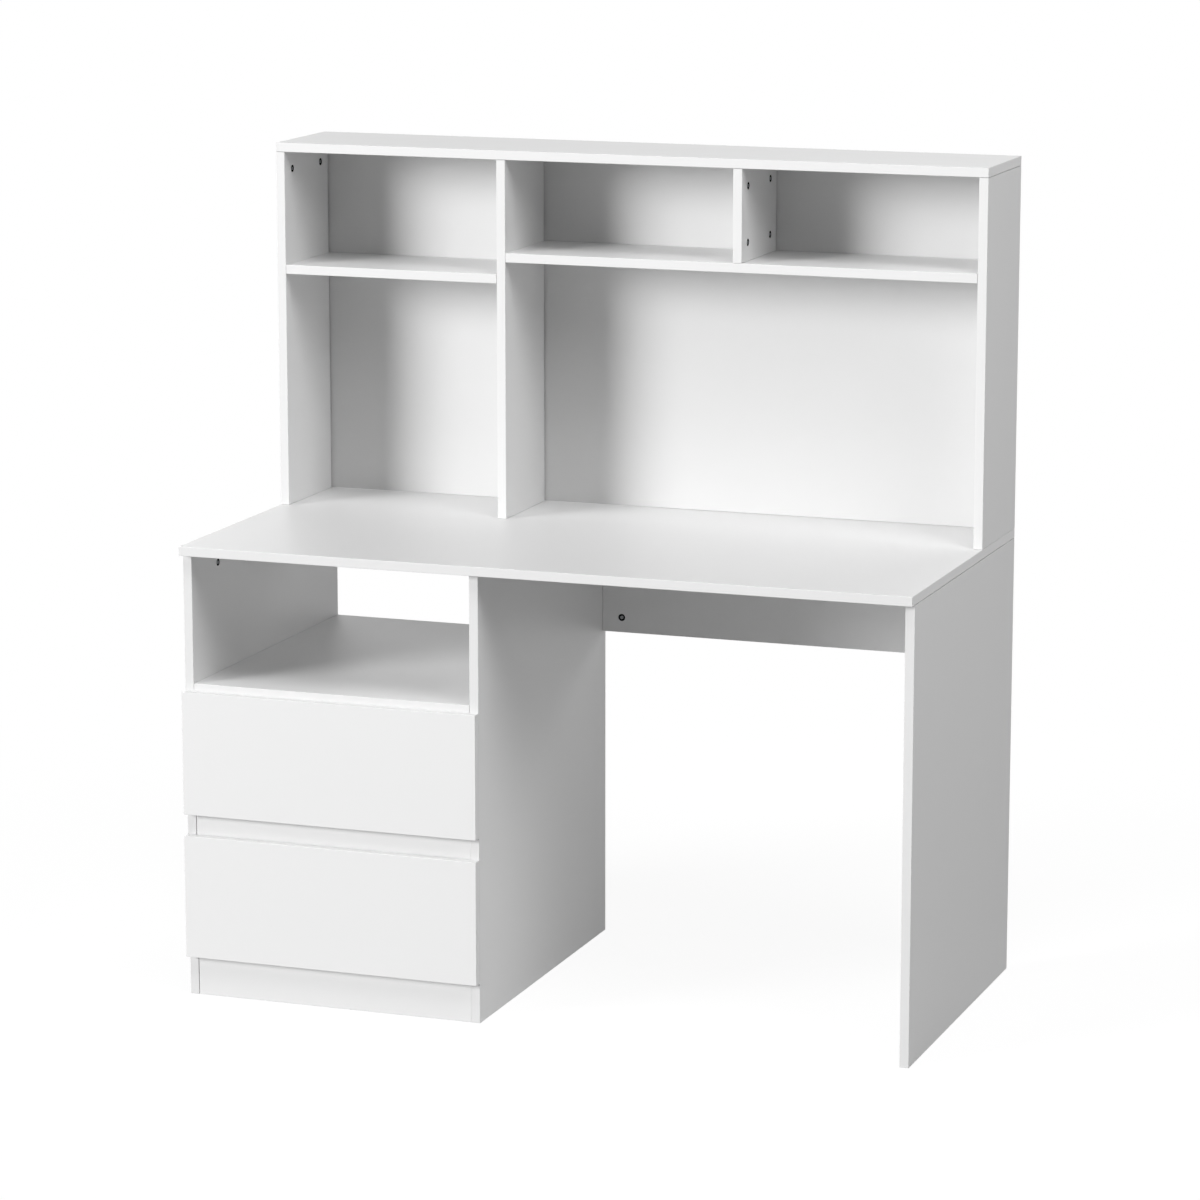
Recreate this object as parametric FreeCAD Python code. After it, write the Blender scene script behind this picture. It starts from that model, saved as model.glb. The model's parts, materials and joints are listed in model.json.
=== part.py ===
"""A white flat-pack computer desk: a desktop on a drawer pedestal and an end panel, with a hutch.

Boards are joined by cam locks and bolts. Each of the two drawers hangs on a pair of roller runners.
The origin is on the floor under the middle of the desk. +Z is up and -Y is the front.
Sizes are in millimetres.
"""
import FreeCAD, Part
import math
import os
from FreeCAD import Vector

# Boards
board = 15.0
sheet = 3.0
sheet_play = 0.5  # side room of a thin sheet
groove_depth = 5.0
groove_fit = 0.1  # room on each face of a sheet in its groove

# Desk
desk_width = 1200.0
desk_depth = 600.0
desk_height = 735.0
pedestal_width = 500.0
stretcher_height = 200.0
front_gap = 0.3  # between the drawer fronts and the carcass
rail_recess = 1.0  # rail and plinth behind the sides' front edges
rail_lap = 15.0  # rail behind each drawer front
plinth_lap = 5.0  # plinth behind the lower front
shelf_show = 12.0  # shelf above the upper front's top
pedestal_back_drop = 3.0  # back sheet below the shelf's top

# Hutch
hutch_height = 600.0
hutch_depth = 200.0
left_bay_width = 370.0
left_bay_upper = 185.0  # clear height above the left shelf
cubby_width = 385.0
cubby_height = 150.0
hutch_back_inset = 17.0  # behind the back sheets
hutch_back_gap = 1.0  # under the back sheets

# Drawers
front_bottom = 65.0
front_height = 200.0
finger_gap = 35.0
box_lift = 32.0  # box above the front's lower edge
box_drop = 28.0  # box below the front's upper edge
box_rear_space = 85.0  # behind the box
drawer_bottom_lift = 10.0

# Roller runners
side_gap = 12.5  # between a drawer's side and the pedestal's
steel = 1.2
runner_setback = 2.0
runner_overrun = 2.0
track_rise = 1.8  # channel's floor above the box's underside
roller_diameter = 19.0
roller_width = 6.0
roller_end = 14.0  # roller's centre from the runner's end
roller_side_play = 0.4
channel_room = 5.0  # channel's height beyond the roller's
track_play = 0.3  # between a roller and its track
flange_play = 0.5
flange_edge_play = 1.0
flange_wall_play = 1.3
stop_reach = 8.0  # stop at the channel's rear, out from the wall
stud_diameter = 6.0
stud_play = 0.05
stud_head_diameter = 10.0
stud_head = 1.0
stud_sides = 10

# Cam locks, bolts, dowels and screws, with few faces because they repeat
fit = 0.1
cam_sides = 10
cam_diameter = 12.0
cam_floor = 4.0  # board left behind a cam
cam_inset = 30.0
stretcher_cam_inset = 34.0
head_sides = 8
pin_sides = 6
bolt_diameter = 7.0
bolt_bite = 11.0  # bolt in the face board
dowel_diameter = 8.0
dowel_length = 30.0
dowel_bite = 10.0  # dowel in the face board
screw_head_diameter = 10.0
screw_head = 3.0
screw_diameter = 5.0
screw_length = 50.0

# Places of the fittings along the joints, from the ends of each joint
hutch_cam_edge = 32.0
cam_stagger = 12.0  # right shelf's fittings inside the left shelf's
hutch_screw_edge = 65.0
desk_cam_edge = 100.0
stretcher_cam_edge = 25.0
pedestal_cam_edge = 60.0
rail_fixing_edge = 16.0
drawer_cam_edge = 35.0

# Limits worked out from the sizes above
left = -desk_width / 2
right = desk_width / 2
front = -desk_depth / 2
back = desk_depth / 2
desk_under = desk_height - board
carcass_front = front + board + front_gap
pedestal_right = left + pedestal_width
inner_left = left + board
inner_right = pedestal_right - board
lower_front_top = front_bottom + front_height
upper_front_bottom = lower_front_top + finger_gap
upper_front_top = upper_front_bottom + front_height
shelf_top = upper_front_top + shelf_show
shelf_under = shelf_top - board
plinth_top = front_bottom + plinth_lap
pedestal_inner_back = back - sheet
rail_front = carcass_front + rail_recess
hutch_front = back - hutch_depth
hutch_top = desk_height + hutch_height
hutch_under = hutch_top - board
hutch_sheet_front = back - hutch_back_inset - sheet
divider_left = left + board + left_bay_width
divider_right = divider_left + board
left_shelf_top = hutch_under - left_bay_upper
right_shelf_top = hutch_under - cubby_height
cubby_divider_left = divider_right + cubby_width
box_front = front + board
box_back = back - box_rear_space
box_left = inner_left + side_gap
box_right = inner_right - side_gap

along_x = Vector(1, 0, 0)
along_y = Vector(0, 1, 0)
along_z = Vector(0, 0, 1)

panels = {}
cuts = {}
nodes = {}


def add_panel(name, x0, x1, y0, y1, z0, z1):
    """A flat board or sheet between the given limits."""
    panels[name] = Part.makeBox(x1 - x0, y1 - y0, z1 - z0, Vector(x0, y0, z0))
    cuts[name] = []


def cut_box(name, x0, x1, y0, y1, z0, z1):
    """A groove in a board, between the given limits."""
    cuts[name].append(Part.makeBox(x1 - x0, y1 - y0, z1 - z0, Vector(x0, y0, z0)))


def prism(sides, across_flats, start, axis, length, facing):
    """A regular prism from start along axis, with one of its flats facing the given way."""
    corner_reach = across_flats / 2 / math.cos(math.pi / sides)
    sideways = axis.cross(facing)
    corners = []
    for index in range(sides):
        angle = (2 * index + 1) * math.pi / sides
        reach = facing * math.cos(angle) + sideways * math.sin(angle)
        corners.append(start + reach * corner_reach)
    return Part.Face(Part.makePolygon(corners + corners[:1])).extrude(axis * length)


def cam_joint(edge_board, face_board, point, toward_face, cam_face, inset, cams, bolts):
    """A cam lock in one board grips a bolt that stands in the face of another.

    point is on the joint, in the middle of the edge, and cam_face points out of the board's face
    that shows the cam.
    """
    cam_centre = point - toward_face * inset
    cam_start = cam_centre + cam_face * (board / 2)
    cam_depth = board - cam_floor
    cams.append(prism(cam_sides, cam_diameter, cam_start, -cam_face, cam_depth - fit, toward_face))
    cuts[edge_board].append(
        prism(cam_sides, cam_diameter + 2 * fit, cam_start, -cam_face, cam_depth, toward_face))

    bolt_start = cam_centre + toward_face * (cam_diameter / 2)
    bolt_length = inset - cam_diameter / 2 + bolt_bite
    bolts.append(prism(pin_sides, bolt_diameter, bolt_start, toward_face, bolt_length, cam_face))
    bore = bolt_diameter + 2 * fit
    cuts[edge_board].append(prism(pin_sides, bore, cam_centre, toward_face, inset, cam_face))
    cuts[face_board].append(prism(pin_sides, bore, point, toward_face, bolt_bite + fit, cam_face))


def dowel_joint(edge_board, face_board, point, toward_face, facing, dowels):
    """A dowel across a joint, part in the edge of one board and part in the face of the other."""
    in_edge = dowel_length - dowel_bite
    start = point - toward_face * in_edge
    bore = dowel_diameter + 2 * fit
    dowels.append(prism(pin_sides, dowel_diameter, start, toward_face, dowel_length, facing))
    cuts[edge_board].append(
        prism(pin_sides, bore, point, -toward_face, in_edge + fit, facing))
    cuts[face_board].append(
        prism(pin_sides, bore, point, toward_face, dowel_bite + fit, facing))


def screw_joint(face_board, edge_board, head_point, inward, facing, screws):
    """A sunk screw through the face of one board into the edge of the next."""
    head = prism(head_sides, screw_head_diameter, head_point, inward, screw_head, facing)
    shank = prism(pin_sides, screw_diameter, head_point, inward, screw_length, facing)
    screws.append(head.fuse(shank).removeSplitter())
    head_bore = screw_head_diameter + 2 * fit
    shank_bore = screw_diameter + 2 * fit
    joint = head_point + inward * board
    bite = screw_length - board
    cuts[face_board].append(
        prism(head_sides, head_bore, head_point, inward, screw_head + fit, facing))
    cuts[face_board].append(prism(pin_sides, shank_bore, head_point, inward, board, facing))
    cuts[edge_board].append(prism(pin_sides, shank_bore, joint, inward, bite + fit, facing))


def make_desk():
    """The boards of the desk and its pedestal."""
    add_panel("desktop", left, right, front, back, desk_under, desk_height)
    add_panel("pedestal_left_side", left, inner_left, carcass_front, back, 0, desk_under)
    add_panel("pedestal_right_side", inner_right, pedestal_right, carcass_front, back, 0, desk_under)
    add_panel("right_end_panel", right - board, right, carcass_front, back, 0, desk_under)
    add_panel("back_stretcher", pedestal_right, right - board, back - board, back,
              desk_under - stretcher_height, desk_under)
    add_panel("pedestal_shelf", inner_left, inner_right, carcass_front, pedestal_inner_back,
              shelf_under, shelf_top)
    add_panel("pedestal_bottom", inner_left, inner_right, carcass_front, pedestal_inner_back,
              plinth_top, plinth_top + board)
    add_panel("drawer_rail", inner_left, inner_right, rail_front, rail_front + board,
              lower_front_top - rail_lap, upper_front_bottom + rail_lap)
    add_panel("plinth", inner_left, inner_right, rail_front, rail_front + board, 0, plinth_top)
    add_panel("pedestal_back", inner_left + sheet_play, inner_right - sheet_play,
              pedestal_inner_back, back, plinth_top, shelf_top - pedestal_back_drop)


def make_hutch():
    """The boards of the hutch, and the grooves that hold its back sheets."""
    add_panel("hutch_left_side", left, inner_left, hutch_front, back, desk_height, hutch_under)
    add_panel("hutch_right_side", right - board, right, hutch_front, back, desk_height, hutch_under)
    add_panel("hutch_divider", divider_left, divider_right, hutch_front, back, desk_height, hutch_under)
    add_panel("hutch_top", left, right, hutch_front, back, hutch_under, hutch_top)
    add_panel("left_shelf", inner_left, divider_left, hutch_front, hutch_sheet_front,
              left_shelf_top - board, left_shelf_top)
    add_panel("right_shelf", divider_right, right - board, hutch_front, hutch_sheet_front,
              right_shelf_top - board, right_shelf_top)
    add_panel("shelf_divider", cubby_divider_left, cubby_divider_left + board,
              hutch_front, hutch_sheet_front, right_shelf_top, hutch_under)

    groove_front = hutch_sheet_front - groove_fit
    groove_back = hutch_sheet_front + sheet + groove_fit
    bays = [
        ("hutch_back_left", "hutch_left_side", inner_left, "hutch_divider", divider_left),
        ("hutch_back_right", "hutch_divider", divider_right, "hutch_right_side", right - board),
    ]
    hold = groove_depth - sheet_play
    for name, left_board, bay_left, right_board, bay_right in bays:
        add_panel(name, bay_left - hold, bay_right + hold, hutch_sheet_front, hutch_sheet_front + sheet,
                  desk_height + hutch_back_gap, hutch_under + hold)
        cut_box(left_board, bay_left - groove_depth, bay_left, groove_front, groove_back,
                desk_height, hutch_under)
        cut_box(right_board, bay_right, bay_right + groove_depth, groove_front, groove_back,
                desk_height, hutch_under)
        cut_box("hutch_top", bay_left - groove_depth, bay_right + groove_depth,
                groove_front, groove_back, hutch_under, hutch_under + groove_depth)


def join_desk(dowels):
    """The fittings of the desk: cam locks at the desktop and stretcher, and cams with dowels below."""
    cams = []
    bolts = []
    uprights = [
        ("pedestal_left_side", left + board / 2, along_x),
        ("pedestal_right_side", pedestal_right - board / 2, -along_x),
        ("right_end_panel", right - board / 2, -along_x),
    ]
    for name, x, cam_face in uprights:
        for y in (carcass_front + desk_cam_edge, back - desk_cam_edge):
            point = Vector(x, y, desk_under)
            cam_joint(name, "desktop", point, along_z, cam_face, cam_inset, cams, bolts)

    stretcher_y = back - board / 2
    for z in (desk_under - stretcher_height + stretcher_cam_edge, desk_under - stretcher_cam_edge):
        cam_joint("back_stretcher", "pedestal_right_side", Vector(pedestal_right, stretcher_y, z),
                  -along_x, -along_y, stretcher_cam_inset, cams, bolts)
        cam_joint("back_stretcher", "right_end_panel", Vector(right - board, stretcher_y, z),
                  along_x, -along_y, stretcher_cam_inset, cams, bolts)

    ends = [
        ("pedestal_left_side", inner_left, -along_x),
        ("pedestal_right_side", inner_right, along_x),
    ]
    rail_y = rail_front + board / 2
    rail_bottom = lower_front_top - rail_lap
    rail_top = upper_front_bottom + rail_lap
    for side_name, x, outward in ends:
        for name, top in (("pedestal_shelf", shelf_top), ("pedestal_bottom", plinth_top + board)):
            z = top - board / 2
            cam_point = Vector(x, carcass_front + pedestal_cam_edge, z)
            dowel_point = Vector(x, pedestal_inner_back - pedestal_cam_edge, z)
            cam_joint(name, side_name, cam_point, outward, -along_z, cam_inset, cams, bolts)
            dowel_joint(name, side_name, dowel_point, outward, along_z, dowels)
        rail_cam_point = Vector(x, rail_y, rail_top - rail_fixing_edge)
        cam_joint("drawer_rail", side_name, rail_cam_point, outward, along_y, cam_inset, cams, bolts)
        rail_dowel_point = Vector(x, rail_y, rail_bottom + rail_fixing_edge)
        dowel_joint("drawer_rail", side_name, rail_dowel_point, outward, along_y, dowels)
        for z in (rail_fixing_edge, plinth_top - rail_fixing_edge):
            dowel_joint("plinth", side_name, Vector(x, rail_y, z), outward, along_y, dowels)
    nodes["desk_cam_locks"] = Part.makeCompound(cams)
    nodes["desk_cam_bolts"] = Part.makeCompound(bolts)


def join_hutch(dowels):
    """The fittings of the hutch: cam locks, the shelves' dowels and the screws through the desktop."""
    cams = []
    bolts = []
    screws = []
    front_y = hutch_front + hutch_cam_edge
    rear_y = hutch_sheet_front - hutch_cam_edge
    cubby_divider_middle = cubby_divider_left + board / 2
    uprights = [
        ("hutch_left_side", left + board / 2, along_x),
        ("hutch_divider", divider_left + board / 2, -along_x),
        ("shelf_divider", cubby_divider_middle, along_x),
        ("hutch_right_side", right - board / 2, -along_x),
    ]
    for y in (front_y, rear_y):
        for name, x, cam_face in uprights:
            cam_joint(name, "hutch_top", Vector(x, y, hutch_under), along_z, cam_face,
                      cam_inset, cams, bolts)
        cam_joint("shelf_divider", "right_shelf", Vector(cubby_divider_middle, y, right_shelf_top),
                  -along_z, along_x, cam_inset, cams, bolts)

    # The right shelf's fittings stand clear of the left shelf's in the divider between them.
    shelf_ends = [
        ("left_shelf", "hutch_left_side", inner_left, -along_x, left_shelf_top, 0),
        ("left_shelf", "hutch_divider", divider_left, along_x, left_shelf_top, 0),
        ("right_shelf", "hutch_divider", divider_right, -along_x, right_shelf_top, cam_stagger),
        ("right_shelf", "hutch_right_side", right - board, along_x, right_shelf_top, cam_stagger),
    ]
    for shelf, upright, x, outward, top, stagger in shelf_ends:
        z = top - board / 2
        cam_point = Vector(x, front_y + stagger, z)
        dowel_point = Vector(x, rear_y - stagger, z)
        cam_joint(shelf, upright, cam_point, outward, -along_z, cam_inset, cams, bolts)
        dowel_joint(shelf, upright, dowel_point, outward, along_z, dowels)

    for name, x, _ in uprights:
        if name == "shelf_divider":
            continue
        for y in (hutch_front + hutch_screw_edge, hutch_sheet_front - hutch_screw_edge):
            screw_joint("desktop", name, Vector(x, y, desk_under), along_z, along_x, screws)
    nodes["hutch_cam_locks"] = Part.makeCompound(cams)
    nodes["hutch_cam_bolts"] = Part.makeCompound(bolts)
    nodes["hutch_screws"] = Part.makeCompound(screws)


def make_drawer(name, front_z):
    """One drawer box with its front, and the fittings that join them."""
    box_bottom = front_z + box_lift
    box_top = front_z + front_height - box_drop
    pieces = ("front", "left_side", "right_side", "back", "bottom")
    names = {piece: f"{name}_drawer_{piece}" for piece in pieces}
    add_panel(names["front"], left, pedestal_right, front, box_front, front_z, front_z + front_height)
    add_panel(names["left_side"], box_left, box_left + board, box_front, box_back, box_bottom, box_top)
    add_panel(names["right_side"], box_right - board, box_right, box_front, box_back, box_bottom, box_top)
    add_panel(names["back"], box_left + board, box_right - board, box_back - board, box_back,
              box_bottom, box_top)

    hold = groove_depth - sheet_play
    bottom_z = box_bottom + drawer_bottom_lift
    add_panel(names["bottom"], box_left + board - hold, box_right - board + hold,
              box_front - hold, box_back - board + hold, bottom_z, bottom_z + sheet)
    groove_z = (bottom_z - groove_fit, bottom_z + sheet + groove_fit)
    groove_left = box_left + board - groove_depth
    groove_right = box_right - board + groove_depth
    groove_front = box_front - groove_depth
    groove_back = box_back - board + groove_depth
    cut_box(names["front"], groove_left, groove_right, groove_front, box_front, *groove_z)
    cut_box(names["left_side"], groove_left, box_left + board, box_front, groove_back, *groove_z)
    cut_box(names["right_side"], box_right - board, groove_right, box_front, groove_back, *groove_z)
    cut_box(names["back"], box_left + board, box_right - board, box_back - board, groove_back, *groove_z)

    cams = []
    bolts = []
    dowels = []
    screws = []
    low_z = box_bottom + drawer_cam_edge
    high_z = box_top - drawer_cam_edge
    sides = [
        (names["left_side"], box_left, along_x),
        (names["right_side"], box_right, -along_x),
    ]
    for side_name, outer_x, inward in sides:
        middle = Vector(outer_x, box_front, 0) + inward * (board / 2)
        cam_point = middle + along_z * high_z
        dowel_point = middle + along_z * low_z
        cam_joint(side_name, names["front"], cam_point, -along_y, inward, cam_inset, cams, bolts)
        dowel_joint(side_name, names["front"], dowel_point, -along_y, inward, dowels)
        for z in (low_z, high_z):
            head_point = Vector(outer_x, box_back - board / 2, z)
            screw_joint(side_name, names["back"], head_point, inward, along_z, screws)
    nodes[f"{name}_drawer_cam_locks"] = Part.makeCompound(cams)
    nodes[f"{name}_drawer_cam_bolts"] = Part.makeCompound(bolts)
    nodes[f"{name}_drawer_dowels"] = Part.makeCompound(dowels)
    nodes[f"{name}_drawer_screws"] = Part.makeCompound(screws)


def steel_section(points, wall, inward, y0, y1):
    """A bent steel section along Y: points are its corners, as reach from the wall and height."""
    corners = [Vector(wall + inward * reach, y0, height) for reach, height in points]
    return Part.Face(Part.makePolygon(corners + corners[:1])).extrude(along_y * (y1 - y0))


def roller_and_stud(web_x, outward, y, z):
    """A roller beside the web of a runner, and the riveted stud that it turns on."""
    axis = along_x * outward
    roller_start = Vector(web_x, y, z) + axis * roller_side_play
    bore_radius = stud_diameter / 2 + stud_play
    roller = Part.makeCylinder(roller_diameter / 2, roller_width, roller_start, axis)
    roller = roller.cut(Part.makeCylinder(bore_radius, roller_width, roller_start, axis))
    journal_length = roller_side_play + roller_width + roller_side_play
    web_point = Vector(web_x, y, z)
    head_start = web_point + axis * journal_length
    # Across its flats the journal is narrower than across its corners, which just clear the bore.
    across_flats = stud_diameter * math.cos(math.pi / stud_sides)
    journal = prism(stud_sides, across_flats, web_point, axis, journal_length, along_z)
    head = prism(stud_sides, stud_head_diameter, head_start, axis, stud_head, along_z)
    return roller, journal.fuse(head)


def make_runner(drawer, side, wall, inward, front_z):
    """The two members of one roller runner, with the roller that each of them carries.

    The cabinet member is a channel on the pedestal's side, with a roller at its front that bears the
    drawer member's upper flange. The drawer member goes under the drawer's side, and the roller at
    its rear runs inside the channel.
    """
    box_bottom = front_z + box_lift
    radius = roller_diameter / 2
    track = box_bottom + track_rise
    ceiling = track + roller_diameter + channel_room
    flange_top = ceiling - flange_play
    flange_under = flange_top - steel
    web = side_gap - steel
    lip = web - flange_edge_play

    channel_front = carcass_front + runner_setback
    channel_back = box_back + runner_overrun
    channel_points = [
        (0, track - steel), (lip, track - steel), (lip, track), (steel, track),
        (steel, ceiling), (lip, ceiling), (lip, ceiling + steel), (0, ceiling + steel),
    ]
    channel = steel_section(channel_points, wall, inward, channel_front, channel_back)
    stop_x = sorted((wall + inward * steel, wall + inward * stop_reach))
    stop = Part.makeBox(stop_x[1] - stop_x[0], steel, ceiling - track,
                        Vector(stop_x[0], channel_back - steel, track))
    front_roller, front_stud = roller_and_stud(
        wall + inward * steel, inward, channel_front + roller_end, flange_under - track_play - radius)
    nodes[f"{drawer}_{side}_cabinet_runner"] = channel.fuse([stop, front_stud]).removeSplitter()
    nodes[f"{drawer}_{side}_cabinet_roller"] = front_roller

    rail_under = box_bottom - steel
    flange_start = steel + flange_wall_play
    rail_points = [
        (flange_start, flange_top), (side_gap, flange_top), (side_gap, box_bottom),
        (side_gap + board, box_bottom), (side_gap + board, rail_under), (web, rail_under),
        (web, flange_under), (flange_start, flange_under),
    ]
    rail = steel_section(rail_points, wall, inward, box_front + runner_setback, box_back)
    rear_roller, rear_stud = roller_and_stud(
        wall + inward * web, -inward, box_back - roller_end, track + track_play + radius)
    nodes[f"{drawer}_drawer_{side}_runner"] = rail.fuse(rear_stud).removeSplitter()
    nodes[f"{drawer}_drawer_{side}_roller"] = rear_roller


make_desk()
make_hutch()
loose_dowels = []
join_desk(loose_dowels)
join_hutch(loose_dowels)
nodes["dowels"] = Part.makeCompound(loose_dowels)
for drawer_name, front_z in (("lower", front_bottom), ("upper", upper_front_bottom)):
    make_drawer(drawer_name, front_z)
    make_runner(drawer_name, "left", inner_left, 1, front_z)
    make_runner(drawer_name, "right", inner_right, -1, front_z)

for panel_name, blank in panels.items():
    nodes[panel_name] = blank.cut(cuts[panel_name]) if cuts[panel_name] else blank

os.makedirs("parts", exist_ok=True)
for node_name, shape in nodes.items():
    shape.exportStep(f"parts/{node_name}.step")
print(len(nodes), "nodes,", sum(len(shape.Solids) for shape in nodes.values()), "solids")
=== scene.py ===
"""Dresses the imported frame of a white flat-pack computer desk.

Boards and sheets get eased edges and their finishes, the fittings and runners their real forms, and the
stage its floor, lamps and camera. Lengths are in metres, and sizes in millimetres are turned with MM.
"""
import json
import math

import bmesh
import bpy
from bpy.props import FloatProperty, FloatVectorProperty, PointerProperty
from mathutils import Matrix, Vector


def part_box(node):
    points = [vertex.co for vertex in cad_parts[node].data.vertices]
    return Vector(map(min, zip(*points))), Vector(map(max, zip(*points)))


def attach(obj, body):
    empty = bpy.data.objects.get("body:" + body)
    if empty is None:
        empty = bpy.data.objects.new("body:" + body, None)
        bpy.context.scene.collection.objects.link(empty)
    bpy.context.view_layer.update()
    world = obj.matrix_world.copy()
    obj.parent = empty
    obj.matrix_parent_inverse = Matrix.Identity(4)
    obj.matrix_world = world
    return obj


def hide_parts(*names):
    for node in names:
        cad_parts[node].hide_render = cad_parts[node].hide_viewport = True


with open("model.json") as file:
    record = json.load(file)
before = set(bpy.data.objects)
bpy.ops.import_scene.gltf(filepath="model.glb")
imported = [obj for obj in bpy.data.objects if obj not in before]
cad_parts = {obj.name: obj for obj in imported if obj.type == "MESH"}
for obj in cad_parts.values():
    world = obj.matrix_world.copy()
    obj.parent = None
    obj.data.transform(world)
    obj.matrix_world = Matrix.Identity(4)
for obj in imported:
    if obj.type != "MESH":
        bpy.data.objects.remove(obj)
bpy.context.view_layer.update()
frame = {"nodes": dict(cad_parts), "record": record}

bl_info = {
    "name": "White computer desk",
    "version": (1, 0, 0),
    "blender": (4, 5, 0),
    "location": "3D View > Sidebar > Desk",
    "description": "Dresses the packed frame of a white flat-pack computer desk",
    "category": "Object",
}

MM = 0.001
# Points nearer than MERGE are joined, and faces within FLAT_ANGLE of one plane become one face.
MERGE = 0.002 * MM
FLAT_ANGLE = math.radians(1)
# Places nearer than TOUCH count as the same. A groove's front wall is within GROOVE_FIT of its sheet.
TOUCH = 0.05 * MM
GROOVE_FIT = 0.15 * MM
# A face counts as facing along an axis when its normal has at least this part along it.
FACING = 0.9
slot_of = {row["node"]: row["material_slot"] for row in frame["record"]["subparts"]}
body_of = {
    node: body for body, nodes in frame["record"]["behaviour"]["bodies"].items() for node in nodes
}


def nodes_in(slot):
    """The CAD nodes that the record gives a material slot."""
    return [node for node, name in slot_of.items() if name == slot]


def linear_colour(code):
    """A linear colour from an sRGB hex code."""
    parts = [int(code[start:start + 2], 16) / 255 for start in (0, 2, 4)]
    return tuple(part / 12.92 if part <= 0.04045 else ((part + 0.055) / 1.055) ** 2.4 for part in parts)


def millimetres(name, description, size):
    """A setting for a length, from its size in millimetres."""
    return FloatProperty(name=name, description=description, default=size * MM, min=0, unit="LENGTH")


def hex_colour(name, description, code):
    """A setting for a colour, from its sRGB hex code."""
    return FloatVectorProperty(
        name=name, description=description, default=linear_colour(code), min=0, max=1, subtype="COLOR")


class BoardSettings(bpy.types.PropertyGroup):
    """Sizes and colours of the boards and thin sheets."""

    edge_radius: millimetres("Edge radius", "Rounding of a board's banded edges", 0.7)
    seam: millimetres("Seam", "Width of the seam at the end of a board that meets another's face", 0.5)
    groove_lip: millimetres("Groove lip", "How far a groove's front stands clear of its back sheet", 2.0)
    sheet_set_back: millimetres("Sheet set-back", "How far a grooved sheet's shown face stands back", 1.2)
    sheet_radius: millimetres("Sheet edge radius", "Rounding of a thin sheet's cut edges", 0.3)
    melamine_colour: hex_colour("Melamine", "White of the boards' pressed faces", "DFDFDF")
    band_colour: hex_colour("Edge band", "White of the boards' edges", "DBDBDB")
    sheet_colour: hex_colour("Sheet", "White of the lacquered thin sheets", "D5D5D5")
    pearl_size: FloatProperty(
        name="Pearl size", description="Spacing of the fine dimples pressed into the melamine",
        default=1.6 * MM, min=0.1 * MM, unit="LENGTH")


class FittingSettings(bpy.types.PropertyGroup):
    """Sizes and colours of the cam locks, screws, bolts, dowels and pins."""

    cam_boss: millimetres("Cam boss", "Diameter of the raised middle of a cam lock", 5.2)
    boss_sink: millimetres("Boss sink", "How far a cam's boss lies below the board's face", 0.1)
    drum_sink: millimetres("Drum sink", "How far a cam's drum lies below the board's face", 0.3)
    cam_groove: millimetres("Cam groove", "Depth of the ring round a cam's boss", 3.0)
    cam_wall: millimetres("Cam wall", "Thickness of the drum's wall round that ring", 0.5)
    bore_play: millimetres("Bore play", "How much wider than its cam lock a bore is", 0.2)
    bore_rim: millimetres("Bore rim", "Width of the rim round the mouth of a cam's bore", 0.8)
    rim_stand: millimetres("Rim stand", "How far a bore's rim stands out of the board's face", 0.03)
    pin_head: millimetres("Pin head", "Diameter of the pins that hold the pedestal's back", 5.0)
    cross_length: millimetres("Cross length", "Length of each arm of a cross recess", 4.4)
    cross_width: millimetres("Cross width", "Width of each arm of a cross recess", 1.2)
    cross_depth: millimetres("Cross depth", "Depth of a cross recess", 2.4)
    # The bosses' pale zinc and the drums' near-black are lit and shaded copies of one zinc; the drums' dark
    # is painted shade.
    zinc_colour: hex_colour("Die-cast zinc", "Grey of the cam locks' bosses", "A6A8AA")
    drum_shade_colour: hex_colour("Drum shade", "Dark grey of the cam locks' drums", "161618")
    plated_colour: hex_colour("Plated steel", "Grey of the screws, bolts and pins", "B4B6B9")
    beech_colour: hex_colour("Beech", "Light wood of the dowels", "C9A77C")


class RunnerSettings(bpy.types.PropertyGroup):
    """Sizes and colours of the roller runners."""

    bend_radius: millimetres("Bend radius", "Rounding of the runners' bends and cut edges", 0.4)
    screw_head: millimetres("Screw head", "Diameter of the runners' countersunk screws", 6.5)
    screw_length: millimetres("Screw length", "Length of the runners' screws", 12.0)
    screw_proud: millimetres("Screw stand", "How far a runner screw's head stands out of the steel", 0.5)
    sheet: millimetres("Sheet", "Thickness of the runners' steel", 1.2)
    flange_middle: millimetres("Flange middle", "Middle of a drawer runner's foot, from its inner edge", 7.5)
    slot_length: millimetres("Slot length", "Length of the oblong slots in the runners", 12.0)
    slot_width: millimetres("Slot width", "Width of the oblong slots in the runners", 5.0)
    slot_pitch: millimetres("Slot pitch", "Spacing of the oblong slots in the runners", 80.0)
    first_slot: millimetres("First slot", "Middle of the first slot, from the runner's front end", 69.0)
    roller_edge: millimetres("Roller edge", "Rounding of a roller's rims", 0.8)
    roller_hub: millimetres("Roller hub", "Diameter of a roller's hub", 11.0)
    roller_dish: millimetres("Roller dish", "Depth of the dish round a roller's hub", 0.6)
    coat_colour: hex_colour("Epoxy coat", "White of the coated steel", "E2E2DF")
    nylon_colour: hex_colour("Nylon", "White of the rollers", "DEDBD0")


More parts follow.
